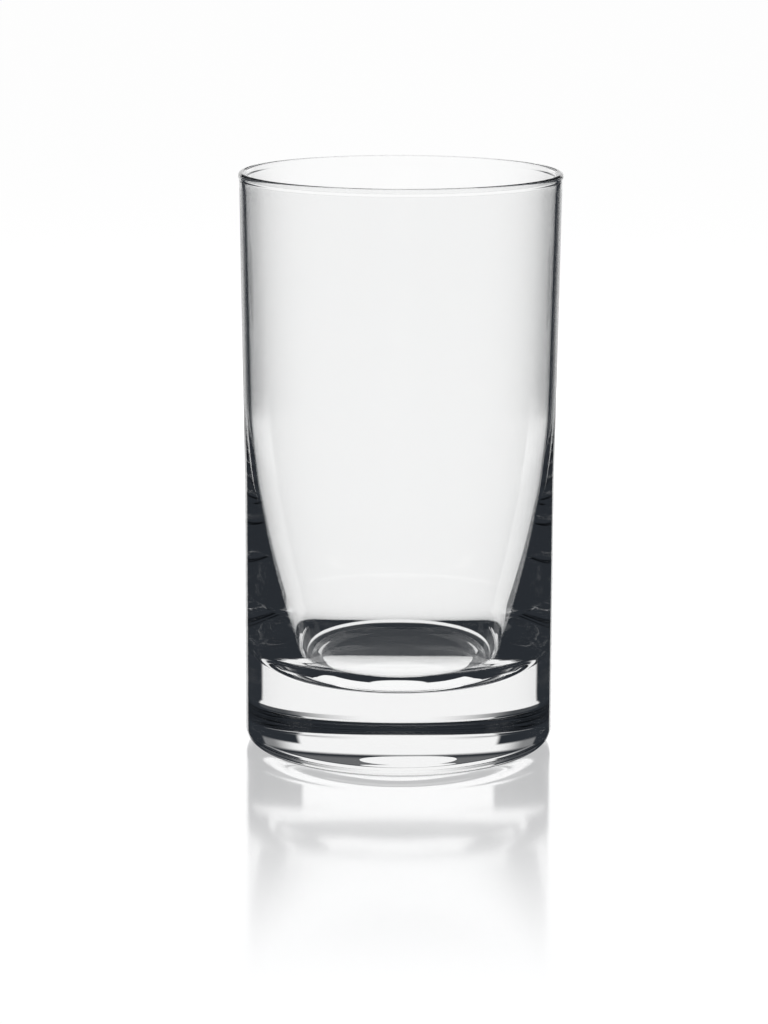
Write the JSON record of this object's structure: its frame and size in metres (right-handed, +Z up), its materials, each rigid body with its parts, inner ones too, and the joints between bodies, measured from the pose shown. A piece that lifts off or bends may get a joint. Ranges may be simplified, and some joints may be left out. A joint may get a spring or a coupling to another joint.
{
  "type": "highball glass",
  "caption": "Straight-sided clear highball glass with a rounded rim, a wall that thickens downwards and a heavy solid base, for long drinks.",
  "frame": {"origin": "on the axis at the level of the table that the glass stands on", "axes": "+Z up along the axis of the glass, towards its mouth; X and Y are any two level directions"},
  "size_m": [0.075, 0.075, 0.135],
  "materials": {
    "clear_glass": "clear colourless glass, polished, with a faint ripple from forming"
  },
  "bodies": {
    "root": {"rim": "clear_glass", "side_wall": "clear_glass", "base": "clear_glass"}
  },
  "joints": []
}
